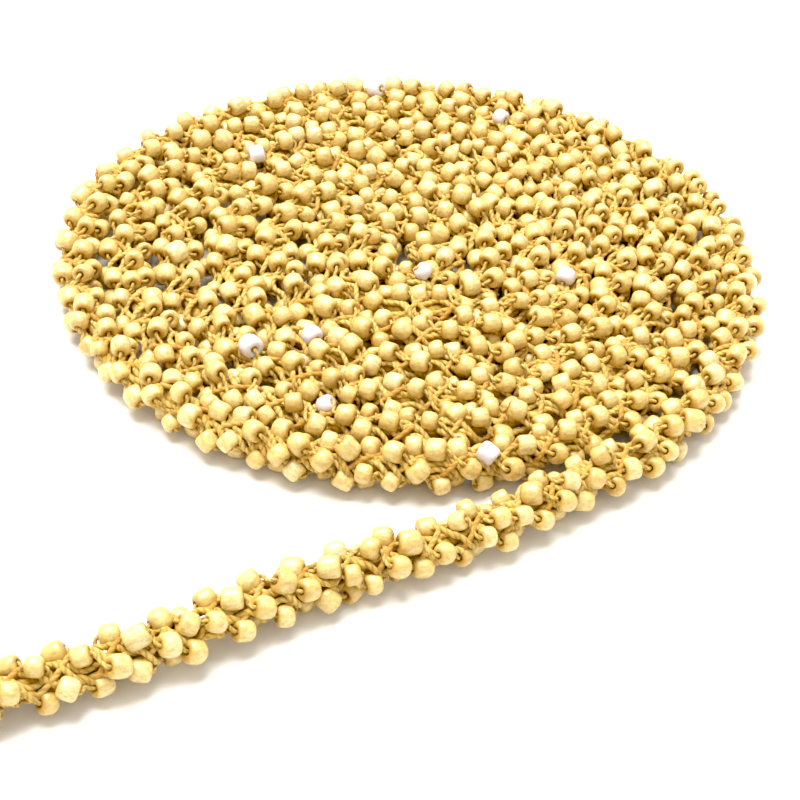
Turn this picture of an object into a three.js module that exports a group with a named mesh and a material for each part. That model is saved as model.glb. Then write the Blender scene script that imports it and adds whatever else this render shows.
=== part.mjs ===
// A yard of beaded trim, wound flat into a spiral coil with one loose end.
// Millimetres, +Z up. The origin is under the middle of the coil, on the surface that it lies on.
import * as THREE from 'three';
import { mergeVertices } from 'three/addons/utils/BufferGeometryUtils.js';

// Driving dimensions
const beadAcross = 2.45;
const trimWidth = 5.75;
const turnPitch = 4.78;
const outerRadius = 38.6;
const innerRadius = 3.4;
const leavingAzimuth = -60;

// How far the winding is from a true spiral
const ovalBy = 1.02;
const ovalAt = 18;
const lobedBy = 0.59;
const lobedAt = 46;
const driftX = -0.26;
const driftY = -0.72;
const middleX = 1.9;
const middleY = 0.6;
const drawnInBy = 0.8;
const drawnInFrom = 1;
const drawnInTo = 7;
const loosenedBy = 0.7;
const loosenedOver = 35;

// The section that all turns share
const shoulderAngle = 50;
const rimAngles = { upper: 22, middle: -8, lower: -38 };
const grooveHeight = 0.58 * trimWidth;
const footAcross = 0.19 * turnPitch;
const grooveLift = 0.95;
const dimpleHeight = 0.4 * trimWidth;
const dimpleAt = { azimuth: 195, radius: 1.8 };
const throatRadius = 1.0;
const throatSpread = 1.2;
const throatSides = 12;
const flatTurns = 1.0;
const flatFade = 0.6;

// Beads stand out in rings of three, each ring turned half a step from the last one
const ringPitch = 1.07 * beadAcross;
const beadStandOut = 0.4;
const wholeTwist = 62;
const bodyRadius = trimWidth / 2 - beadStandOut;

// Lengths of the facets along the trim
const ridgeStep = 1.5;
const grooveStep = 2.6;
const looseStep = 1.25;
const looseSides = 10;
const clearance = 0.3;
const weldWithin = 0.001;
const headingOver = 0.002;

// The loose end's route on the table, chosen by hand, after the point where it leaves the coil
const looseRoute = [
  [14.9, -37.3],
  [10.6, -40.2],
  [6.2, -42.9],
  [1.8, -45.5],
  [-2.6, -48.2],
  [-6.9, -51.0],
  [-11.2, -53.9],
  [-15.4, -56.9],
  [-19.7, -59.7],
  [-24.1, -62.3],
  [-28.6, -64.7],
  [-33.1, -67.2],
  [-37.6, -69.8],
  [-42.0, -72.5],
  [-45.6, -74.8],
];

const radians = THREE.MathUtils.degToRad;
const turnCount = (outerRadius - innerRadius) / turnPitch;

// The way along the centreline is counted in turns from the inner end, which winds clockwise
function azimuthAt(turn) {
  return radians(leavingAzimuth + 360 * (turnCount - turn));
}

function lengthAt(turn) {
  return 2 * Math.PI * innerRadius * turn + Math.PI * turnPitch * turn * turn;
}

function turnAt(length) {
  const root = Math.sqrt(innerRadius ** 2 + (turnPitch * length) / Math.PI);
  return (root - innerRadius) / turnPitch;
}

function spiralRadius(turn) {
  const near = THREE.MathUtils.clamp(1 - ((turnCount - turn) * 360) / loosenedOver, 0, 1);
  const loosened = loosenedBy * THREE.MathUtils.smoothstep(near, 0, 1);
  return innerRadius + turnPitch * turn + loosened;
}

// How far the inner turns follow the winding's own middle, from 1 at the inner end to 0 outside
function innerShare(turn) {
  return 1 - THREE.MathUtils.smoothstep(turn, drawnInFrom, drawnInTo);
}

// A point beside the centreline, so far outwards across the trim and so high above the table
function windingPoint(turn, across, height) {
  const azimuth = azimuthAt(turn);
  const radius = spiralRadius(turn);
  const inner = innerShare(turn);
  const outer = radius / outerRadius;
  const oval = ovalBy * Math.cos(2 * (azimuth - radians(ovalAt)));
  const lobed = lobedBy * Math.cos(3 * (azimuth - radians(lobedAt)));
  const reach = radius + outer * (oval + lobed) - inner * drawnInBy + across;
  const x = outer * driftX + inner * middleX + reach * Math.cos(azimuth);
  const y = outer * driftY + inner * middleY + reach * Math.sin(azimuth);
  return new THREE.Vector3(x, y, height);
}

// The trim's outer radius at a length along it and an angle round it, raised where beads sit
function beadedRadius(length, angle) {
  const turned = angle - (2 * Math.PI * length) / wholeTwist;
  const rings = Math.cos((Math.PI * length) / ringPitch);
  return bodyRadius + beadStandOut * rings * Math.cos(3 * turned);
}

// A point of the trim's skin in the coil, at an angle round the centreline from straight outwards
function skinPoint(turn, degrees) {
  const angle = radians(degrees);
  const reach = beadedRadius(lengthAt(turn), angle);
  return windingPoint(turn, reach * Math.cos(angle), trimWidth / 2 + reach * Math.sin(angle));
}

// The groove between a turn and the next one out
function groovePoint(turn, height) {
  const inside = windingPoint(turn, 0, height);
  const outside = windingPoint(turn + 1, 0, height);
  return inside.lerp(outside, 0.5);
}

function lowerGrooveHeight(turn) {
  return grooveLift * THREE.MathUtils.smoothstep(turn, flatTurns, flatTurns + flatFade);
}

// The inner edge of the first turn, which closes round the dimple in the middle
function throatPoint(turn, height) {
  const edge = innerRadius - drawnInBy + turnPitch * (turn - 0.5);
  const radius = Math.max(edge, throatRadius + throatSpread * turn);
  const azimuth = azimuthAt(turn);
  return new THREE.Vector3(middleX + radius * Math.cos(azimuth), middleY + radius * Math.sin(azimuth), height);
}

// Places along the trim from one turn to another, spaced evenly along its length
function stations(from, to, step) {
  const start = lengthAt(from);
  const span = lengthAt(to) - start;
  const count = Math.max(1, Math.round(span / step));
  return Array.from({ length: count + 1 }, (_, i) => turnAt(start + (span * i) / count));
}

// Collects points and triangles, and closes strips between two rows with different spacings
class Shell {
  constructor() {
    this.points = [];
    this.triangles = [];
  }

  point(position) {
    this.points.push(position);
    return this.points.length - 1;
  }

  row(turns, place) {
    return turns.map((turn) => ({ turn, id: this.point(place(turn)) }));
  }

  triangle(a, b, c) {
    this.triangles.push(a.id, b.id, c.id);
  }

  strip(first, second) {
    let i = 0;
    let j = 0;
    while (i < first.length - 1 || j < second.length - 1) {
      const nextFirst = i < first.length - 1 ? first[i + 1].turn : Infinity;
      const nextSecond = j < second.length - 1 ? second[j + 1].turn : Infinity;
      if (nextFirst <= nextSecond) {
        this.triangle(first[i], first[i + 1], second[j]);
        i += 1;
      } else {
        this.triangle(first[i], second[j + 1], second[j]);
        j += 1;
      }
    }
  }

  fan(apex, loop) {
    for (let i = 0; i < loop.length - 1; i += 1) {
      this.triangle(loop[i], loop[i + 1], apex);
    }
  }

  geometry() {
    const shape = new THREE.BufferGeometry();
    const coordinates = this.points.flatMap((position) => position.toArray());
    shape.setAttribute('position', new THREE.Float32BufferAttribute(coordinates, 3));
    shape.setIndex(this.triangles);
    shape.computeVertexNormals();
    return shape;
  }
}

function delayed(row) {
  return row.map(({ turn, id }) => ({ turn: turn + 1, id }));
}

function coilGeometry() {
  const shell = new Shell();
  const lastInner = turnCount - 1;
  const ridgeTurns = stations(0, turnCount, ridgeStep);
  const grooveTurns = stations(0, lastInner, grooveStep);
  const rimTurns = stations(lastInner, turnCount, ridgeStep).slice(1);
  const throatTurns = Array.from({ length: throatSides }, (_, i) => i / throatSides);
  const footTurns = stations(0, turnCount, grooveStep);

  const innerShoulder = shell.row(ridgeTurns, (t) => skinPoint(t, 180 - shoulderAngle));
  const crest = shell.row(ridgeTurns, (t) => skinPoint(t, 90));
  const outerShoulder = shell.row(ridgeTurns, (t) => skinPoint(t, shoulderAngle));
  const innerFoot = shell.row(footTurns, (t) => windingPoint(t, -footAcross, 0));
  const outerFoot = shell.row(footTurns, (t) => windingPoint(t, footAcross, 0));
  const upperGroove = shell.row(grooveTurns, (t) => groovePoint(t, grooveHeight));
  const lowerGroove = shell.row(grooveTurns, (t) => groovePoint(t, lowerGrooveHeight(t)));
  const upperThroat = shell.row(throatTurns, (t) => throatPoint(t, grooveHeight));
  const lowerThroat = shell.row(throatTurns, (t) => throatPoint(t, 0));

  const upperRim = shell.row(rimTurns, (t) => skinPoint(t, rimAngles.upper));
  const middleRim = shell.row(rimTurns, (t) => skinPoint(t, rimAngles.middle));
  const lowerRim = shell.row(rimTurns, (t) => skinPoint(t, rimAngles.lower));

  const upperInside = [...upperThroat, ...delayed(upperGroove)];
  const lowerInside = [...lowerThroat, ...delayed(lowerGroove)];
  const upperOutside = [...upperGroove, ...upperRim];
  const lowerOutside = [...lowerGroove, ...lowerRim];
  const upperSide = [upperInside, innerShoulder, crest, outerShoulder, upperOutside];
  const lowerSide = [lowerOutside, outerFoot, innerFoot, lowerInside];
  for (const rows of [upperSide, lowerSide]) {
    for (let i = 0; i < rows.length - 1; i += 1) {
      shell.strip(rows[i], rows[i + 1]);
    }
  }

  // The outermost turn's rim starts where the loose end has left it
  const upperStart = upperGroove.at(-1);
  const lowerStart = lowerGroove.at(-1);
  shell.strip([upperStart, ...upperRim], middleRim);
  shell.strip(middleRim, [lowerStart, ...lowerRim]);
  shell.triangle(upperStart, middleRim[0], lowerStart);

  // The middle, closed above by a dimple and below by a flat
  const azimuth = radians(dimpleAt.azimuth);
  const dimpleX = middleX + dimpleAt.radius * Math.cos(azimuth);
  const dimpleY = middleY + dimpleAt.radius * Math.sin(azimuth);
  const upperApex = { id: shell.point(new THREE.Vector3(dimpleX, dimpleY, dimpleHeight)) };
  const lowerApex = { id: shell.point(new THREE.Vector3(dimpleX, dimpleY, 0)) };
  const innerEndAbove = [innerShoulder[0], crest[0], outerShoulder[0]];
  const innerEndBelow = [outerFoot[0], innerFoot[0]];
  const roundTheDimple = [upperGroove[0], ...upperThroat.toReversed()];
  shell.fan(upperApex, [upperThroat[0], ...innerEndAbove, ...roundTheDimple]);
  shell.fan(lowerApex, [lowerGroove[0], ...innerEndBelow, ...lowerThroat, lowerGroove[0]]);

  // The cut across the trim where the loose end goes on
  const cutMiddle = { id: shell.point(windingPoint(turnCount, 0, trimWidth / 2)) };
  const lastOf = (row) => row.at(-1);
  const cut = [lowerInside, innerFoot, outerFoot, lowerRim, middleRim, upperRim, outerShoulder, crest,
    innerShoulder, upperInside, lowerInside].map(lastOf);
  shell.fan(cutMiddle, cut);
  return shell.geometry();
}

function looseEndGeometry() {
  const leaving = windingPoint(turnCount, 0, trimWidth / 2);
  const before = windingPoint(turnCount - headingOver, 0, trimWidth / 2);
  const heading = leaving.clone().sub(before).normalize();
  const start = leaving.clone().addScaledVector(heading, clearance);
  const rest = looseRoute.map(([x, y]) => new THREE.Vector3(x, y, trimWidth / 2));
  const path = new THREE.CatmullRomCurve3([start, ...rest], false, 'centripetal');
  const pathLength = path.getLength();
  const steps = Math.round(pathLength / looseStep);

  const section = new THREE.Shape();
  for (let i = 0; i < looseSides; i += 1) {
    const angle = (2 * Math.PI * (i + 0.5)) / looseSides;
    const corner = [bodyRadius * Math.cos(angle), bodyRadius * Math.sin(angle)];
    if (i === 0) {
      section.moveTo(...corner);
    } else {
      section.lineTo(...corner);
    }
  }
  section.closePath();
  const tube = new THREE.ExtrudeGeometry(section, { steps, extrudePath: path });
  tube.deleteAttribute('normal');
  tube.deleteAttribute('uv');
  const merged = mergeVertices(tube, weldWithin);

  // Each ring of corners moves out or in to follow the beads
  const coilLength = lengthAt(turnCount);
  const up = new THREE.Vector3(0, 0, 1);
  const stops = path.getSpacedPoints(steps);
  const positions = merged.getAttribute('position');
  const corner = new THREE.Vector3();
  for (let i = 0; i < positions.count; i += 1) {
    corner.fromBufferAttribute(positions, i);
    const distances = stops.map((stop) => stop.distanceToSquared(corner));
    const nearest = distances.indexOf(Math.min(...distances));
    const along = path.getTangentAt(nearest / steps);
    const outwards = new THREE.Vector3().crossVectors(up, along);
    const arm = corner.clone().sub(stops[nearest]);
    const angle = Math.atan2(arm.z, arm.dot(outwards));
    const reach = beadedRadius(coilLength + (pathLength * nearest) / steps, angle);
    arm.setLength(reach);
    corner.copy(stops[nearest]).add(arm);
    positions.setXYZ(i, corner.x, corner.y, corner.z);
  }
  merged.computeVertexNormals();
  return merged;
}

function strawBeads() {
  return new THREE.MeshStandardMaterial({ color: '#e3c77c', roughness: 0.35, metalness: 0.0 });
}

const coil = new THREE.Mesh(coilGeometry(), strawBeads());
coil.name = 'coil';

const looseEnd = new THREE.Mesh(looseEndGeometry(), strawBeads());
looseEnd.name = 'loose_end';

const beadedTrim = new THREE.Group();
beadedTrim.add(coil, looseEnd);

export default beadedTrim;
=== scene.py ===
import math

import bpy
import numpy as np
from mathutils import Matrix, Vector


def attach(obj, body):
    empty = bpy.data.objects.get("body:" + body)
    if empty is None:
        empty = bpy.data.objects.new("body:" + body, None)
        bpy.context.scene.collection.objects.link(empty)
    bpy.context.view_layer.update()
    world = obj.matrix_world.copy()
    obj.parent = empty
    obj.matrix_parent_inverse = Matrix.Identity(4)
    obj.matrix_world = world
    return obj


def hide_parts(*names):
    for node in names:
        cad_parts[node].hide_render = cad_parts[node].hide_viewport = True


# A metre of beaded trim, wound flat into a coil, with its loose end beside it.
# Shapes are worked out in millimetres and go into the meshes in metres.
mm = 0.001
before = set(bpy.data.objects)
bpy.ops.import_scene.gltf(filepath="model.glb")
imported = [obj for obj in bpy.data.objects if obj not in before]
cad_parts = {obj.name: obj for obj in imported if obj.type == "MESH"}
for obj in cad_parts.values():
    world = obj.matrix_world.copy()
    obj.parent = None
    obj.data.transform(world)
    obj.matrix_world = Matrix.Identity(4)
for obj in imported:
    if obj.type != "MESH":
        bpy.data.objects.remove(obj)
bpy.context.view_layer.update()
print("frame loaded:", ", ".join(sorted(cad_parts)))


# camera at the photo's angle

photoCamera = {
    "lens": 79.83,  # mm, on a square sensor
    "sensor": 36.0,  # mm
    "elevation": 40.944,  # degrees above the table
    "distance": 187.337,  # mm
    "roll": 4.8,  # degrees
    "lookAt": (0.963, -20.416, 0.0),  # mm
    "sees": (0.01, 20),  # m, the nearest and the furthest
}


def addCamera(settings):
    lift = math.radians(settings["elevation"])
    roll = math.radians(settings["roll"])
    back = Vector((0, -math.cos(lift), math.sin(lift)))
    level = Vector((1, 0, 0))
    upright = back.cross(level)
    right = math.cos(roll) * level + math.sin(roll) * upright
    up = math.cos(roll) * upright - math.sin(roll) * level
    place = Matrix((right, up, back)).transposed().to_4x4()
    place.translation = (Vector(settings["lookAt"]) + settings["distance"] * back) * mm
    data = bpy.data.cameras.new("camera")
    data.lens = settings["lens"]
    data.sensor_width = settings["sensor"]
    data.sensor_fit = "HORIZONTAL"
    data.clip_start, data.clip_end = settings["sees"]
    camera = bpy.data.objects.new("camera", data)
    camera.matrix_world = place
    bpy.context.scene.collection.objects.link(camera)
    bpy.context.scene.camera = camera


addCamera(photoCamera)
print("camera placed")


# the trim's middle line, from the tucked-in inner end to the cut loose end

winding = {
    "height": 2.875,  # mm, the middle of the trim above the table
    "turnPitch": 4.78,  # mm from one turn to the next
    "innerRadius": 3.25,  # mm, where the line starts
    "outerRadius": 38.45,  # mm, where it leaves the coil
    "leavesAt": -60,  # degrees, where the loose end parts from the coil
    "ovalBy": 1.06,  # mm, how far the coil is from round
    "ovalAt": 16,  # degrees
    "lobedBy": 0.45,  # mm, how far its three lobes stand out
    "lobedAt": 47,  # degrees
    "drift": (-0.12, -0.36),  # mm that the outer turns lie off centre
    "middle": (1.9, 0.6),  # mm that the first turn lies off centre
    "drawnInBy": 0.8,  # mm, how much tighter the inner turns lie
    "fadesOver": (1, 7),  # turns in which the last two fade away
    "loosenedBy": 0.7,  # mm that the last bit before the loose end stands off
    "loosenedOver": 35,  # degrees
    "tuckedBy": (2.1, 1.7),  # mm, the inner end's tip
    "tuckedOver": (0.3, 0.15),  # turns
    # how much wider than high the trim lies, by mm from where the loose end leaves
    "flattened": [(-260, 1.24), (-225, 1.0), (-180, 1.0), (-20, 1.04), (10, 1.12)],
    "rolledBy": 18,  # degrees, how far the coiled trim rolls to and fro
    "rolledOver": 190,  # mm
}
turnCount = (winding["outerRadius"] - winding["innerRadius"]) / winding["turnPitch"]

# The loose end's route on the table, in metres.
looseRoute = [
    (0.0149, -0.0376), (0.0106, -0.0409), (0.0062, -0.0436), (0.0018, -0.0460),
    (-0.0026, -0.0484), (-0.0069, -0.0511), (-0.0112, -0.0539), (-0.0154, -0.0569),
    (-0.0197, -0.0597), (-0.0241, -0.0623), (-0.0286, -0.0647), (-0.0331, -0.0672),
    (-0.0376, -0.0698), (-0.0420, -0.0725), (-0.0456, -0.0748),
]

coilSamples = 30000  # points of the spiral
routeSamples = 60  # between two points of the route
lineStep = 0.2  # mm, the spacing of the middle line that both make up


def smoothStep(value, low, high):
    share = np.clip((value - low) / (high - low), 0, 1)
    return share * share * (3 - 2 * share)


def windingPoints(turns):
    # a spiral that is a little oval, lobed, off centre and tucked in at its tip
    w = winding
    left = turnCount - turns
    azimuth = np.radians(w["leavesAt"] + 360 * left)
    nearEnd = smoothStep(1 - left * 360 / w["loosenedOver"], 0, 1)
    radius = w["innerRadius"] + w["turnPitch"] * turns + w["loosenedBy"] * nearEnd
    outer = radius / w["outerRadius"]
    inner = 1 - smoothStep(turns, *w["fadesOver"])
    oval = w["ovalBy"] * np.cos(2 * (azimuth - math.radians(w["ovalAt"])))
    lobes = w["lobedBy"] * np.cos(3 * (azimuth - math.radians(w["lobedAt"])))
    reach = radius + outer * (oval + lobes) - w["drawnInBy"] * inner
    flat = []
    for i, reached in enumerate((reach * np.cos(azimuth), reach * np.sin(azimuth))):
        tucked = w["tuckedBy"][i] * (1 - smoothStep(turns, 0, w["tuckedOver"][i]))
        flat.append(outer * w["drift"][i] + inner * w["middle"][i] + reached - tucked)
    return np.stack([*flat, np.full_like(turns, w["height"])], 1)


def curveThrough(points, perSpan):
    # a smooth curve that passes through every point
    p = np.vstack([2 * points[0] - points[1], points, 2 * points[-1] - points[-2]])
    u = (np.arange(perSpan) / perSpan)[None, :, None]
    a, b, c, d = (p[i:len(p) - 3 + i][:, None] for i in range(4))
    straight = 2 * b + (c - a) * u
    bent = (2 * a - 5 * b + 4 * c - d) * u**2
    twisted = (3 * b - a - 3 * c + d) * u**3
    spans = 0.5 * (straight + bent + twisted)
    return np.vstack([spans.reshape(-1, points.shape[1]), points[-1]])


def lengthsAlong(points):
    return np.concatenate([[0], np.cumsum(np.linalg.norm(np.diff(points, axis=0), axis=1))])


def evenly(points, step):
    lengths = lengthsAlong(points)
    places = np.linspace(0, lengths[-1], int(round(lengths[-1] / step)) + 1)
    return np.stack([np.interp(places, lengths, points[:, i]) for i in range(3)], 1)


def unit(vectors):
    return vectors / np.linalg.norm(vectors, axis=-1, keepdims=True)


coilLine = windingPoints(np.linspace(0, turnCount, coilSamples))
looseLine = np.array([(x / mm, y / mm, winding["height"]) for x, y in looseRoute])
looseLine = curveThrough(np.vstack([coilLine[-1], looseLine]), routeSamples)
coilLength = lengthsAlong(coilLine)[-1]
middleLine = evenly(np.vstack([coilLine, looseLine[1:]]), lineStep)
lineAt = lengthsAlong(middleLine) - coilLength  # 0 where the loose end leaves the coil
runs = unit(np.gradient(middleLine, axis=0))
upward = np.array([0.0, 0.0, 1.0])
outwards = unit(np.cross(upward, runs))


def onLine(values, at):
    return np.stack([np.interp(at, lineAt, values[:, i]) for i in range(3)], 1)


def rolled(at):
    # the loose end isn't rolled
    swing = np.sin(2 * np.pi * np.minimum(at, 0) / winding["rolledOver"])
    return math.radians(winding["rolledBy"]) * swing


def aroundLine(at, angle, radius):
    # a place beside the middle line: angle 0 is outward, 90 degrees is up
    wide = np.interp(at, *zip(*winding["flattened"])) * np.cos(angle)
    sideways = wide[:, None] * onLine(outwards, at) + np.sin(angle)[:, None] * upward
    return onLine(middleLine, at) + np.asarray(radius)[..., None] * sideways


# beads: rings of three, every other ring turned by half a step

beads = {
    "diameter": 2.16,  # mm, between the sizes 10/0 and 11/0
    "sizeSpread": 0.07,
    "sizeLimits": (0.85, 1.16),
    "lengthRatio": (0.78, 1.0),  # of the diameter
    "hole": 0.46,  # mm
    "perRing": 3,
    "ringPitch": 2.3,  # mm
    "firstRingAt": 1.2,  # mm past the place where the loose end leaves
    "bareEnds": (1.2, 1.4),  # mm without a ring at the inner and the loose end
    "endRoom": 0.6,  # mm, least distance of a bead's middle from either end
    "standOut": 1.78,  # mm from the middle line
    "standOutSpread": 0.12,  # mm
    "alongSpread": 0.34,  # mm
    "angleSpread": 13,  # degrees
    "furthestStray": 2,  # spreads
    "slant": 0.4,  # of the hole, along the thread's diagonal
    "tiltSpread": 0.24,
    "tone": 0.64,  # on the glass's scale of tones, from 0 dark to 1 light
    "toneSpread": 0.08,
    "toneLimits": (0.2, 1),
    "seed": 7,
    # where the near-white beads lie, in mm on the table, and how high at least
    "paleAt": [
        (-5.4, 32.5), (-17.6, 16.8), (10.5, 28.6), (3.3, -3.3), (16.8, -3.8),
        (-9.2, -17.4), (-13.9, -18.8), (-6.6, -26.2), (10.8, -33.5),
    ],
    "paleAbove": 3.2,
}


def ringPlace(ring):
    return beads["firstRingAt"] + ring * beads["ringPitch"]


def ringAngle(thread, ring, at):
    step = 360 / beads["perRing"]
    return np.radians(90 + step * thread + step / 2 * ring) + rolled(at)


def stray(draw, count):
    # a normal spread without its far ends
    limit = beads["furthestStray"]
    return np.clip(draw.normal(size=count), -limit, limit)


def stringBeads(b):
    # every bead's place, axis, size and tone, before the beads settle
    draw = np.random.default_rng(b["seed"])
    first = math.ceil((lineAt[0] + b["bareEnds"][0] - b["firstRingAt"]) / b["ringPitch"])
    last = math.floor((lineAt[-1] - b["bareEnds"][1] - b["firstRingAt"]) / b["ringPitch"])
    ring = np.repeat(np.arange(first, last + 1), b["perRing"])
    thread = np.tile(np.arange(b["perRing"]), last - first + 1)
    count = len(ring)
    at = ringPlace(ring)
    angle = ringAngle(thread, ring, at) + np.radians(b["angleSpread"]) * stray(draw, count)
    at = at + b["alongSpread"] * stray(draw, count)
    at = np.clip(at, lineAt[0] + b["endRoom"], lineAt[-1] - b["endRoom"])
    standOut = b["standOut"] + b["standOutSpread"] * stray(draw, count)
    size = np.clip(1 + b["sizeSpread"] * draw.normal(size=count), *b["sizeLimits"])
    radius = b["diameter"] / 2 * size
    half = radius * draw.uniform(*b["lengthRatio"], size=count)
    centre = aroundLine(at, angle, standOut)
    outward = unit(centre - onLine(middleLine, at))
    run = onLine(runs, at)
    axis = run + b["slant"] * np.cross(run, outward) + b["tiltSpread"] * draw.normal(size=(count, 3))
    tone = np.clip(b["tone"] + b["toneSpread"] * draw.normal(size=count), *b["toneLimits"])
    return {
        "ring": ring, "thread": thread, "at": at, "centre": centre, "axis": unit(axis),
        "radius": radius, "half": half, "tone": tone,
    }


settling = {
    "rounds": 70,
    "elbowRoom": 1.05,  # how far beads keep apart in the first half of the rounds, 1 where they touch
    "reach": 5,  # mm, beads and yarn further off than this don't push
    "everyPoint": 4,  # of the middle line
    "ownStretch": 6,  # mm of the line, to each side of a bead
    "ownCore": 1.5,  # mm, least distance from a bead's own stretch
    "otherCore": 0.85,  # mm left for the yarn of the turn beside it
    "beadPush": 0.5,
    "yarnPush": 0.4,
    "pushed": 0.6,  # of all pushes, in one round
    "drawnHome": 0.05,  # of the way back to where the bead began
    "squareness": 4,  # 2 is a ball or an egg, more is squarer
}


def beadReach(direction, axis, radius, half):
    # how far a bead reaches from its centre in a direction
    power = settling["squareness"]
    along = np.abs(np.sum(direction * axis, axis=-1))
    across = np.sqrt(np.clip(1 - along**2, 0, 1))
    return ((along / half) ** power + (across / radius) ** power) ** (-1 / power)


def settledCentres(strung, s):
    # pushes beads apart until they only touch, and off the table and the yarn
    home = strung["centre"]
    centre = home.copy()
    axis, radius, half = strung["axis"], strung["radius"], strung["half"]
    apart = np.linalg.norm(centre[:, None] - centre[None], axis=2)
    one, two = np.where(np.triu(apart < s["reach"], 1))
    line = middleLine[::s["everyPoint"]]
    near = np.linalg.norm(centre[:, None] - line[None], axis=2)
    bead, spot = np.where(near < s["reach"])
    own = np.abs(lineAt[::s["everyPoint"]][spot] - strung["at"][bead]) < s["ownStretch"]
    least = np.where(own, s["ownCore"], radius[bead] + s["otherCore"])
    lowest = beadReach(upward[None], axis, radius, half)
    for step in range(s["rounds"]):
        push = np.zeros_like(centre)
        gap = centre[one] - centre[two]
        distance = np.linalg.norm(gap, axis=1)
        direction = gap / distance[:, None]
        touch = beadReach(direction, axis[one], radius[one], half[one])
        touch += beadReach(direction, axis[two], radius[two], half[two])
        room = s["elbowRoom"] if step < s["rounds"] / 2 else 1
        move = direction * np.clip(room * touch - distance, 0, None)[:, None] * s["beadPush"]
        np.add.at(push, one, move)
        np.add.at(push, two, -move)
        gap = centre[bead] - line[spot]
        distance = np.linalg.norm(gap, axis=1)
        move = gap / distance[:, None] * np.clip(least - distance, 0, None)[:, None] * s["yarnPush"]
        np.add.at(push, bead, move)
        centre += s["pushed"] * push + s["drawnHome"] * (home - centre)
        centre[:, 2] = np.maximum(centre[:, 2], lowest)
    return centre


def paleBeads(centre):
    # marks the upper bead nearest to each place of a near-white one
    pale = np.zeros(len(centre))
    for x, y in beads["paleAt"]:
        far = np.hypot(centre[:, 0] - x, centre[:, 1] - y)
        far[centre[:, 2] < beads["paleAbove"]] = np.inf
        pale[np.argmin(far)] = 1
    return pale


strung = stringBeads(beads)
strung["centre"] = settledCentres(strung, settling)
strung["pale"] = paleBeads(strung["centre"])
firstRing = int(strung["ring"].min())
lastRing = int(strung["ring"].max())
print(f"beads placed: {len(strung['ring'])}")


# meshes of quads, from parts that hold points, quads, attributes of the points and the quads' uv

def quadMesh(name, part, materials, places=None):
    # places say which of the materials each quad takes
    points, quads = part["points"], part["quads"]
    mesh = bpy.data.meshes.new(name)
    mesh.vertices.add(len(points))
    mesh.vertices.foreach_set("co", (points * mm).astype(np.float32).ravel())
    mesh.loops.add(quads.size)
    mesh.loops.foreach_set("vertex_index", quads.astype(np.int32).ravel())
    mesh.polygons.add(len(quads))
    mesh.polygons.foreach_set("loop_start", np.arange(0, quads.size, 4, dtype=np.int32))
    mesh.polygons.foreach_set("loop_total", np.full(len(quads), 4, dtype=np.int32))
    for material in materials:
        mesh.materials.append(material)
    if places is not None:
        mesh.polygons.foreach_set("material_index", places.astype(np.int32))
    mesh.update(calc_edges=True)
    mesh.validate()
    mesh.shade_smooth()
    for key, values in part.get("attributes", {}).items():
        kind = "FLOAT_VECTOR" if values.ndim == 2 else "FLOAT"
        field = "vector" if values.ndim == 2 else "value"
        layer = mesh.attributes.new(key, kind, "POINT")
        layer.data.foreach_set(field, values.astype(np.float32).ravel())
    if "uv" in part:
        layer = mesh.uv_layers.new(name="alongYarn")
        layer.data.foreach_set("uv", part["uv"].astype(np.float32).ravel())
    piece = bpy.data.objects.new(name, mesh)
    bpy.context.scene.collection.objects.link(piece)
    return piece


def joined(parts):
    # several parts as one
    bases = np.cumsum([0] + [len(part["points"]) for part in parts[:-1]])
    attributes = {}
    for key in parts[0]["attributes"]:
        attributes[key] = np.concatenate([part["attributes"][key] for part in parts])
    return {
        "points": np.vstack([part["points"] for part in parts]),
        "quads": np.vstack([part["quads"] + base for part, base in zip(parts, bases)]),
        "attributes": attributes,
        "uv": np.vstack([part["uv"] for part in parts]),
    }


phaseRange = 6.3  # radians, a full turn, for waves that begin anywhere

beadMesh = {
    "fine": (16, 13),  # steps round the hole, steps along the wall and back through the hole
    "plain": (12, 10),
    "squareness": (2.4, 4.2),  # 2 is a ball or an egg, more is squarer
    "lip": 84,  # degrees from the widest place to the hole's lip
    "lining": (0.6, 0.01, -0.6),  # of half the length, the steps inside the hole
    "slantedEnd": 0.07,
    "outOfRound": 0.035,
    # the ends are painted darker than the wall, partly the glass's own golden ends and partly painted
    # shade; the lining of the hole takes the whole darkening as painted shade
    "endToneAndShade": 0.5,  # how much darker the ends are than the wall
    "patternOver": 60,  # mm, the block of pattern that the beads' spots are picked from
}


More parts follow.
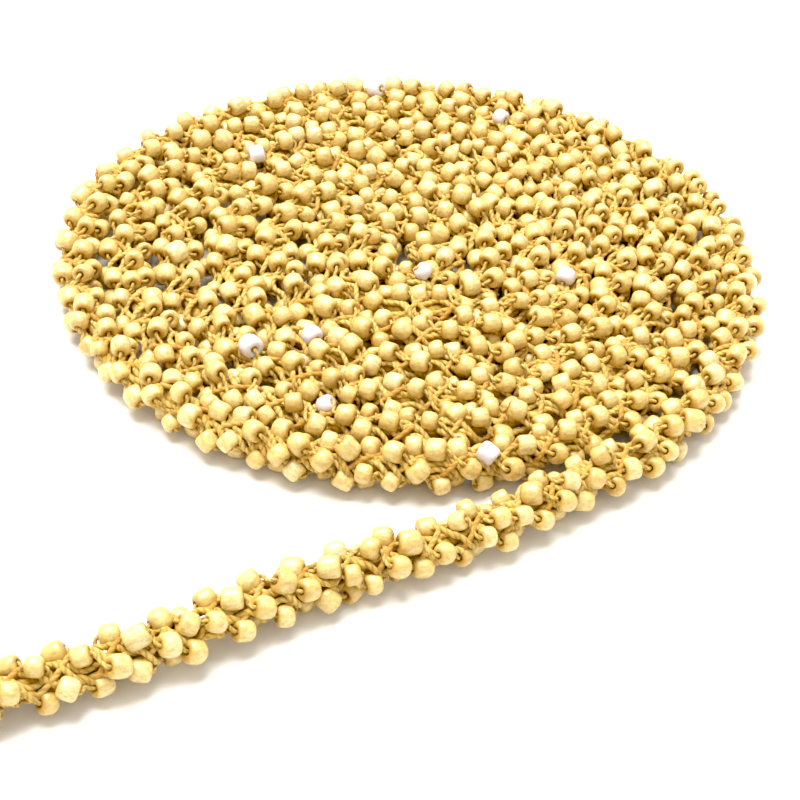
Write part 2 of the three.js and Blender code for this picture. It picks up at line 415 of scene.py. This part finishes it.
def turnedBeads(which, detail):
    # each bead is a lathed wall with a lined hole, a little out of true
    m = beadMesh
    roundSteps, wallSteps = m[detail]
    draw = np.random.default_rng(beads["seed"] + 1)
    # 0 to 2 turn the bead, 3 is its squareness, 4 turns its oval, 5 and 6 slant its ends, 7 is spare
    chance = draw.uniform(size=(len(strung["ring"]), 8))[which]
    patternAt = draw.uniform(0, m["patternOver"], size=(len(strung["ring"]), 3))[which]
    radius = strung["radius"][which][:, None, None]
    half = strung["half"][which][:, None, None]
    axis = strung["axis"][which]
    centre = strung["centre"][which]
    side = unit(np.cross(axis, unit(chance[:, :3] - 0.5)))
    other = np.cross(axis, side)
    theta = (np.arange(roundSteps) / roundSteps * 2 * np.pi)[None, :, None]
    skin = np.radians(m["lip"]) * np.linspace(-1, 1, wallSteps - len(m["lining"]))
    phi = np.concatenate([skin, np.zeros(len(m["lining"]))])
    lining = np.concatenate([np.zeros(len(skin)), m["lining"]])
    onWall = lining == 0
    c, s = np.cos(phi), np.sin(phi)
    low, high = m["squareness"]
    power = 2 / (low + (high - low) * chance[:, 3])[:, None, None]
    hole = beads["hole"] / 2
    across = np.where(onWall, hole + (radius - hole) * np.abs(c) ** power, hole) + 0 * theta
    along = np.where(onWall, half * np.sign(s) * np.abs(s) ** power, half * lining) + 0 * theta
    across = across * (1 + m["outOfRound"] * np.cos(2 * theta + phaseRange * chance[:, 4, None, None]))
    slanted = m["slantedEnd"] * (2 * chance[:, 5] - 1)[:, None, None] * np.sign(along)
    along = along + slanted * across * np.cos(theta + phaseRange * chance[:, 6, None, None])
    local = np.stack([across * np.cos(theta), across * np.sin(theta), along], -1)
    basis = np.stack([side, other, axis], 1)
    points = centre[:, None, None, :] + np.einsum("bijk,bkl->bijl", local, basis)
    # no bead goes into the table
    points[..., 2] += np.clip(-points[..., 2].min(axis=(1, 2)), 0, None)[:, None, None]
    # painted shade: darker towards the ends and darkest inside the hole, partly the glass's own golden
    # ends
    toneAndShadeDrop = np.where(onWall, m["endToneAndShade"] * (1 - c), m["endToneAndShade"])
    tone = np.clip(strung["tone"][which][:, None, None] - toneAndShadeDrop + 0 * theta, 0, 1)
    count, perBead = len(centre), roundSteps * wallSteps
    number = np.arange(count * perBead).reshape(count, roundSteps, wallSteps)
    nextRound = np.roll(number, -1, 1)
    corners = [number, nextRound, np.roll(nextRound, -1, 2), np.roll(number, -1, 2)]
    quads = np.stack(corners, -1).reshape(-1, 4)
    pattern = local.reshape(count, perBead, 3) + patternAt[:, None, :]
    return {
        "points": points.reshape(-1, 3),
        "quads": quads,
        "attributes": {
            "tone": tone.ravel(),
            "pale": np.repeat(strung["pale"][which], perBead),
            "pattern": pattern.reshape(-1, 3),
        },
        "uv": np.zeros((quads.size, 2)),  # only the yarn uses it
    }


# yarn: three threads carry the beads over a rope of strands, two more wind round it the other way

yarn = {
    "carrier": 0.2,  # mm, radius
    "carrierTones": (0.4, 0.75),  # on the yarn's scale of tones
    "carrierLeast": 1.16,  # mm from the middle line
    "carrierDip": 0.5,  # mm that a thread dips towards the rope between two beads
    "carrierPull": 0.9,  # of the gap between two beads, how far a thread keeps the hole's direction
    "shortestGap": 0.8,  # mm
    "filling": 0.7,  # mm, radius
    "fillingTone": 0,
    "fillingStep": 1.0,  # mm
    "fillingWaver": 0.03,  # mm
    "strands": 9,
    "strand": 0.3,  # mm, radius
    "strandTones": (0.2, 0.75),
    "strandAt": (0.8, 0.94, 1.04),  # mm from the middle line, one strand after another
    "strandPitch": 15,  # mm
    "strandSwing": 0.5,  # radians that a strand strays to each side
    "strandWaver": 0.05,  # mm
    "dive": 0.4,  # mm for each radian of swing, how deep it dives under its neighbours
    "spread": 0.6,  # times the swing: how much further out strands lie at the sides than on top
    "wrap": 0.28,  # mm, radius
    # the wraps are the same yarn as the rest, drawn with the darkest tones as painted shade
    "wrapShadeTones": (0.9, 1.0),
    "wrapAt": 1.22,  # mm from the middle line
    "wrapRings": 4,  # rings of beads that one turn passes
    "wrapSwing": 0.1,  # radians
    "wrapWaver": 0.06,  # mm
    "wavelengths": (3.1, 4.7, 7.9),  # mm, of the waver
    "plyTwist": 1.5,  # mm for one turn of the two plies
    "tip": 0.5,  # of the radius, at a thread's ends
    "overlap": 0.1,  # mm that the yarn of one piece runs into the next
    "fine": (8, 0.38),  # sides, mm from step to step
    "plain": (6, 0.6),
    "wrapStep": 0.7,  # of the strands' step
    "seed": 1011,  # each stretch adds its first ring's number
}
wrapPitch = yarn["wrapRings"] * beads["ringPitch"]


def tube(points, normals, radius, sides, tone):
    # a closed tube; its material draws the two plies that turn as it goes
    tangent = unit(np.gradient(points, axis=0))
    first = unit(normals - np.sum(normals * tangent, axis=1)[:, None] * tangent)
    second = np.cross(tangent, first)
    lengths = lengthsAlong(points)
    theta = np.arange(sides) / sides * 2 * np.pi
    reach = np.full(len(points), radius, float)
    reach[[0, -1]] *= yarn["tip"]
    places = points[:, None] + reach[:, None, None] * (
        np.cos(theta)[None, :, None] * first[:, None] + np.sin(theta)[None, :, None] * second[:, None]
    )
    number = np.arange(len(points) * sides).reshape(len(points), sides)
    here, there = number[:-1], number[1:]
    wall = np.stack([here, np.roll(here, -1, 1), np.roll(there, -1, 1), there], -1).reshape(-1, 4)
    row = np.arange(sides // 2 - 1)  # each end is closed by a row of quads
    cap = np.stack([row, sides - 1 - row, sides - 2 - row, row + 1], 1)
    quads = np.vstack([wall, cap, number[-1][cap[:, ::-1]]])
    u0 = np.broadcast_to(np.arange(sides) / sides, here.shape)
    u1 = u0 + 1 / sides
    v0 = np.broadcast_to(lengths[:-1, None], here.shape)
    v1 = np.broadcast_to(lengths[1:, None], here.shape)
    corners = [np.stack(corner, -1) for corner in ((u0, v0), (u1, v0), (u1, v1), (u0, v1))]
    return {
        "points": places.reshape(-1, 3),
        "quads": quads,
        "attributes": {
            "tone": np.full(number.size, tone),
            "pale": np.zeros(number.size),
            "pattern": places.reshape(-1, 3),
        },
        "uv": np.vstack([np.stack(corners, 2).reshape(-1, 2), np.zeros((2 * cap.size, 2))]),
    }


def carrierPoints(thread, low, high, steps):
    # through the hole of each bead, then down towards the core and over to the next one
    ring = strung["ring"]
    chosen = np.where((strung["thread"] == thread) & (ring >= low) & (ring <= high + 1))[0]
    chosen = chosen[np.argsort(ring[chosen])]
    centre, axis = strung["centre"][chosen], strung["axis"][chosen]
    reach = strung["half"][chosen][:, None]
    into, out = centre - axis * reach, centre + axis * reach
    u = np.linspace(0, 1, steps + 1)[None, :, None]
    a, b = out[:-1, None], into[1:, None]
    span = np.linalg.norm(b - a, axis=2, keepdims=True)
    pull = np.maximum(span, yarn["shortestGap"]) * yarn["carrierPull"]
    ta, tb = axis[:-1, None] * pull, axis[1:, None] * pull
    curve = (2 * u**3 - 3 * u**2 + 1) * a + (u**3 - 2 * u**2 + u) * ta
    curve = curve + (3 * u**2 - 2 * u**3) * b + (u**3 - u**2) * tb
    curve = curve.reshape(-1, 3)
    u = u[0, :, 0]
    beadAt = strung["at"][chosen]
    at = (beadAt[:-1, None] * (1 - u) + beadAt[1:, None] * u).ravel()
    run = onLine(runs, at)
    away = curve - onLine(middleLine, at)
    away -= np.sum(away * run, axis=1)[:, None] * run
    distance = np.linalg.norm(away, axis=1)[:, None]
    dip = np.tile(16 * u**2 * (1 - u) ** 2, len(chosen) - 1)[:, None]  # 0 at the beads, 1 half-way
    wanted = np.maximum(distance - yarn["carrierDip"] * dip, yarn["carrierLeast"])
    curve = curve + unit(away) * (wanted - distance) * (dip > 0)
    return curve, away


def helixPoints(at, angle, radius, draw, waver, swing):
    # a strand that dives under its neighbours and comes up again, as in a braid
    wave = sum(
        draw.normal() * np.sin(at * 2 * np.pi / wavelength + draw.uniform(0, phaseRange))
        for wavelength in yarn["wavelengths"]
    )
    plait = at * 2 * np.pi / (2 * beads["ringPitch"]) + draw.uniform(0, phaseRange)
    angle = angle + swing * np.sin(plait)
    radius = (radius + waver * wave) * (1 + yarn["spread"] * swing * np.cos(angle) ** 2)
    return aroundLine(at, angle, radius + yarn["dive"] * swing * np.cos(plait))


def yarnStretch(low, high, detail):
    # all the yarn between two rings of beads
    y = yarn
    draw = np.random.default_rng(y["seed"] + low)
    sides, step = y[detail]
    parts = []
    for thread in range(beads["perRing"]):
        points, away = carrierPoints(thread, low, high, sides)
        parts.append(tube(points, away, y["carrier"], sides, draw.uniform(*y["carrierTones"])))
    start = ringPlace(low - 0.5) if low > firstRing else lineAt[0]
    end = ringPlace(high + 0.5) + y["overlap"] if high < lastRing else lineAt[-1]
    at = np.arange(start, end, y["fillingStep"])
    points = helixPoints(at, 0 * at, 0, draw, y["fillingWaver"], 0)
    parts.append(tube(points, upward, y["filling"], sides, y["fillingTone"]))
    at = np.arange(start, end, step)
    for strand in range(y["strands"]):
        angle = 2 * np.pi * (strand / y["strands"] + at / y["strandPitch"])
        radius = y["strandAt"][strand % len(y["strandAt"])]
        points = helixPoints(at, angle, radius, draw, y["strandWaver"], y["strandSwing"])
        away = points - onLine(middleLine, at)
        parts.append(tube(points, away, y["strand"], sides, draw.uniform(*y["strandTones"])))
    at = np.arange(start, end, step * y["wrapStep"])
    # the wraps take the darker tones: painted shade
    for side, tone in enumerate(y["wrapShadeTones"]):
        angle = 2 * np.pi * (side / 2 - (at - beads["firstRingAt"]) / wrapPitch) + rolled(at)
        points = helixPoints(at, angle, y["wrapAt"], draw, y["wrapWaver"], y["wrapSwing"])
        away = points - onLine(middleLine, at)
        parts.append(tube(points, away, y["wrap"], sides, tone))
    return joined(parts)


# materials

def linear(hexColour):
    parts = [int(hexColour[i:i + 2], 16) / 255 for i in (1, 3, 5)]
    return [c / 12.92 if c <= 0.04045 else ((c + 0.055) / 1.055) ** 2.4 for c in parts] + [1.0]


def addNode(tree, kind, inputs=None, **settings):
    # inputs hold a value or another node's output, by socket name or number
    made = tree.nodes.new(kind)
    for key, value in settings.items():
        setattr(made, key, value)
    for key, value in (inputs or {}).items():
        if isinstance(value, bpy.types.NodeSocket):
            tree.links.new(value, made.inputs[key])
        else:
            made.inputs[key].default_value = value
    return made


def newMaterial(name):
    material = bpy.data.materials.new(name)
    material.use_nodes = True
    tree = material.node_tree
    tree.nodes.clear()
    shader = addNode(tree, "ShaderNodeBsdfPrincipled")
    addNode(tree, "ShaderNodeOutputMaterial", {"Surface": shader.outputs[0]})
    return material, shader


def setTones(colourRamp, tones):
    while len(colourRamp.elements) < len(tones):
        colourRamp.elements.new(0.5)
    for element, (place, colour) in zip(colourRamp.elements, tones):
        element.position = place
        element.color = linear(colour)


glassLooks = {
    "tones": [(0.0, "#A07A34"), (0.3, "#CBA854"), (0.6, "#DFC67B"), (1.0, "#EADEAB")],
    "pale": "#D9D1D1",
    "mottle": "#AC8030",
    "mottleSize": 0.36,  # mm
    "mottleDrawn": (1, 1, 0.6),  # the mottling is longer along the hole
    "mottleAmount": 0.6,
    "speck": "#7A4E20",
    "speckSize": 0.2,  # mm
    "speckAmount": 0.4,
    "roughness": (0.4, 0.56),  # where the glass is clear, where it is mottled
    "dents": 0.07,  # mm
    "bleed": 0.5,  # mm, how far light goes through the glass
}


def pearlGlass():
    # pressed glass seed bead with a pearl lustre: milky body, soft wide highlight, faint mottling
    material, shader = newMaterial("pressed_glass_pearl_lustre")
    tree = material.node_tree
    looks = glassLooks
    tone = addNode(tree, "ShaderNodeAttribute", attribute_name="tone").outputs["Fac"]
    pale = addNode(tree, "ShaderNodeAttribute", attribute_name="pale").outputs["Fac"]
    pattern = addNode(tree, "ShaderNodeAttribute", attribute_name="pattern").outputs["Vector"]
    tones = addNode(tree, "ShaderNodeValToRGB", {"Fac": tone})
    setTones(tones.color_ramp, looks["tones"])
    drawn = addNode(tree, "ShaderNodeVectorMath", {
        0: pattern, 1: looks["mottleDrawn"],
    }, operation="MULTIPLY").outputs[0]
    lumps = addNode(tree, "ShaderNodeTexNoise", {
        "Vector": drawn, "Scale": 1 / looks["mottleSize"], "Detail": 3.0, "Roughness": 0.6,
    }).outputs["Fac"]
    mottling = addNode(tree, "ShaderNodeMapRange", {
        "Value": lumps, "From Min": 0.4, "From Max": 0.7, "To Min": 0.0, "To Max": looks["mottleAmount"],
    }).outputs[0]
    mottled = addNode(tree, "ShaderNodeMix", {
        0: mottling, 6: tones.outputs["Color"], 7: linear(looks["mottle"]),
    }, data_type="RGBA").outputs[2]
    grain = addNode(tree, "ShaderNodeTexNoise", {
        "Vector": pattern, "Scale": 1 / looks["speckSize"], "Detail": 2.0, "Roughness": 0.5,
    }).outputs["Fac"]
    specks = addNode(tree, "ShaderNodeMapRange", {
        "Value": grain, "From Min": 0.62, "From Max": 0.74, "To Min": 0.0, "To Max": looks["speckAmount"],
    }).outputs[0]
    specked = addNode(tree, "ShaderNodeMix", {
        0: specks, 6: mottled, 7: linear(looks["speck"]),
    }, data_type="RGBA").outputs[2]
    body = addNode(tree, "ShaderNodeMix", {
        0: pale, 6: specked, 7: linear(looks["pale"]),
    }, data_type="RGBA").outputs[2]
    tree.links.new(body, shader.inputs["Base Color"])
    clear, dull = looks["roughness"]
    roughness = addNode(tree, "ShaderNodeMapRange", {
        "Value": mottling, "From Min": 0.0, "From Max": 0.4, "To Min": clear, "To Max": dull,
    }).outputs[0]
    tree.links.new(roughness, shader.inputs["Roughness"])
    bump = addNode(tree, "ShaderNodeBump", {
        "Strength": 0.7, "Distance": looks["dents"] * mm, "Height": lumps,
    }).outputs[0]
    tree.links.new(bump, shader.inputs["Normal"])
    shader.inputs["IOR"].default_value = 1.55
    shader.inputs["Subsurface Weight"].default_value = 0.35
    shader.inputs["Subsurface Radius"].default_value = (1.0, 0.7, 0.35)
    shader.inputs["Subsurface Scale"].default_value = looks["bleed"] * mm
    shader.inputs["Coat Weight"].default_value = 0.85
    shader.inputs["Coat Roughness"].default_value = 0.34
    return material


yarnLooks = {
    # the darker stop at 1.0 serves only the wraps: painted shade
    "tones": [(0.0, "#CFA542"), (0.45, "#E0BA58"), (0.75, "#EBCB70"), (1.0, "#CB9C3A")],
    # painted shade in the crease where the two plies meet
    "groove": "#A0722E",
    "grooveAmount": 0.6,
    "fibre": 0.05,  # mm, drawn wider than a real fibre so that it shows
    "fibreAround": 2.4,  # mm, a little more than the way round a strand
    "fibreAlong": 0.9,  # waves of the same noise for each mm along a strand
    "fibreLight": (0.72, 1.22),  # the darkest and the lightest fibre
    "depth": 0.08,  # mm, of the grooves and fibres
}


def twistedYarn():
    # twisted two-ply yarn: dull, with painted shade in the crease where the plies meet and fine fibres
    # along them
    material, shader = newMaterial("twisted_two_ply_yarn")
    tree = material.node_tree
    looks = yarnLooks
    tone = addNode(tree, "ShaderNodeAttribute", attribute_name="tone").outputs["Fac"]
    tones = addNode(tree, "ShaderNodeValToRGB", {"Fac": tone})
    setTones(tones.color_ramp, looks["tones"])
    uv = addNode(tree, "ShaderNodeUVMap", uv_map="alongYarn").outputs[0]
    place = addNode(tree, "ShaderNodeSeparateXYZ", {0: uv})
    around, along = place.outputs[0], place.outputs[1]
    turned = addNode(tree, "ShaderNodeMath", {
        0: along, 1: 1 / yarn["plyTwist"],
    }, operation="MULTIPLY").outputs[0]
    phase = addNode(tree, "ShaderNodeMath", {0: around, 1: turned}, operation="SUBTRACT").outputs[0]
    angle = addNode(tree, "ShaderNodeMath", {
        0: phase, 1: 4 * math.pi,
    }, operation="MULTIPLY").outputs[0]
    plies = addNode(tree, "ShaderNodeMath", {0: angle}, operation="COSINE").outputs[0]
    # painted shade: darker along the crease between the two plies
    groove = addNode(tree, "ShaderNodeMapRange", {
        "Value": plies, "From Min": -1.0, "From Max": 0.2, "To Min": looks["grooveAmount"], "To Max": 0.0,
    }).outputs[0]
    grooved = addNode(tree, "ShaderNodeMix", {
        0: groove, 6: tones.outputs["Color"], 7: linear(looks["groove"]),
    }, data_type="RGBA").outputs[2]
    acrossFibres = addNode(tree, "ShaderNodeMath", {
        0: phase, 1: looks["fibreAround"] / looks["fibre"],
    }, operation="MULTIPLY").outputs[0]
    alongFibres = addNode(tree, "ShaderNodeMath", {
        0: along, 1: looks["fibreAlong"],
    }, operation="MULTIPLY").outputs[0]
    streaks = addNode(tree, "ShaderNodeCombineXYZ", {0: acrossFibres, 1: alongFibres}).outputs[0]
    fibres = addNode(tree, "ShaderNodeTexNoise", {
        "Vector": streaks, "Scale": 1.0, "Detail": 2.0, "Roughness": 0.6,
    }).outputs["Fac"]
    darkest, lightest = looks["fibreLight"]
    light = addNode(tree, "ShaderNodeMapRange", {
        "Value": fibres, "From Min": 0.3, "From Max": 0.7, "To Min": darkest, "To Max": lightest,
    }).outputs[0]
    body = addNode(tree, "ShaderNodeVectorMath", {0: grooved, 3: light}, operation="SCALE").outputs[0]
    tree.links.new(body, shader.inputs["Base Color"])
    height = addNode(tree, "ShaderNodeMath", {
        0: plies, 1: 0.35, 2: fibres,
    }, operation="MULTIPLY_ADD").outputs[0]
    bump = addNode(tree, "ShaderNodeBump", {
        "Strength": 1.0, "Distance": looks["depth"] * mm, "Height": height,
    }).outputs[0]
    tree.links.new(bump, shader.inputs["Normal"])
    shader.inputs["Roughness"].default_value = 0.72
    shader.inputs["Sheen Weight"].default_value = 0.2
    shader.inputs["Sheen Roughness"].default_value = 0.4
    return material


glassMaterial = pearlGlass()
yarnMaterial = twistedYarn()
print("materials made")


# pieces

# the last ring of each stretch of the coil, and how fine its meshes are; ring 0 ends the coil
stretches = {
    "inner_turns": (-241, "plain"),
    "middle_turns": (-103, "plain"),
    "outer_turn": (0, "fine"),
}


def addCoilPiece(name, part, material):
    piece = quadMesh(name, part, [material])
    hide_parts("coil")
    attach(piece, "root")
    print(f"{name}: {2 * len(part['quads'])} triangles")


def addLooseEnd(low):
    glass = turnedBeads(np.where(strung["ring"] >= low)[0], "fine")
    threads = yarnStretch(low, lastRing, "fine")
    whole = joined([glass, threads])
    places = np.repeat([0, 1], [len(glass["quads"]), len(threads["quads"])])
    piece = quadMesh("loose_end_beads_and_yarn", whole, [glassMaterial, yarnMaterial], places)
    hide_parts("loose_end")
    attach(piece, "root")
    print(f"loose end: {2 * len(whole['quads'])} triangles")


low = firstRing
for name, (high, detail) in stretches.items():
    which = np.where((strung["ring"] >= low) & (strung["ring"] <= high))[0]
    addCoilPiece(f"beads_{name}", turnedBeads(which, detail), glassMaterial)
    addCoilPiece(f"yarn_{name}", yarnStretch(low, high, detail), yarnMaterial)
    low = high + 1
addLooseEnd(low)


# floor and light

studio = {
    "floor": "#F3F1EC",
    "floorSize": 3.0,  # m
    "world": 0.9,  # strength of the white surroundings
    "keyPower": 12.2,  # W
    "keySize": 0.6,  # m
    "keyFrom": (-0.15, 0.15, 0.76),  # m
    "black": 0.019,  # the level shown as black, in linear light
    "white": 1.01,  # the level shown as white
}


def addFloor(s):
    # matt white paper: no highlight, so that only the shadows show
    material, shader = newMaterial("matt_white_paper")
    shader.inputs["Base Color"].default_value = linear(s["floor"])
    shader.inputs["Roughness"].default_value = 0.9
    shader.inputs["Specular IOR Level"].default_value = 0.0
    half = s["floorSize"] / mm / 2
    corners = np.array([(-half, -half, 0), (half, -half, 0), (half, half, 0), (-half, half, 0)])
    floor = quadMesh("floor", {"points": corners, "quads": np.array([[0, 1, 2, 3]])}, [material])


def addLight(s):
    world = bpy.data.worlds.new("studio")
    world.use_nodes = True
    background = world.node_tree.nodes["Background"]
    background.inputs["Color"].default_value = (1, 1, 1, 1)
    background.inputs["Strength"].default_value = s["world"]
    bpy.context.scene.world = world
    light = bpy.data.lights.new("softbox", "AREA")
    light.shape = "DISK"
    light.size = s["keySize"]
    light.energy = s["keyPower"]
    lamp = bpy.data.objects.new("softbox", light)
    lamp.location = s["keyFrom"]
    lamp.rotation_euler = Vector(s["keyFrom"]).to_track_quat("Z", "Y").to_euler()
    bpy.context.scene.collection.objects.link(lamp)


def setDisplay(s):
    display = bpy.context.scene.view_settings
    display.view_transform = "Standard"
    display.use_curve_mapping = True
    display.curve_mapping.black_level = (s["black"],) * 3
    display.curve_mapping.white_level = (s["white"],) * 3
    display.curve_mapping.update()


addFloor(studio)
addLight(studio)
setDisplay(studio)
print("studio lit")
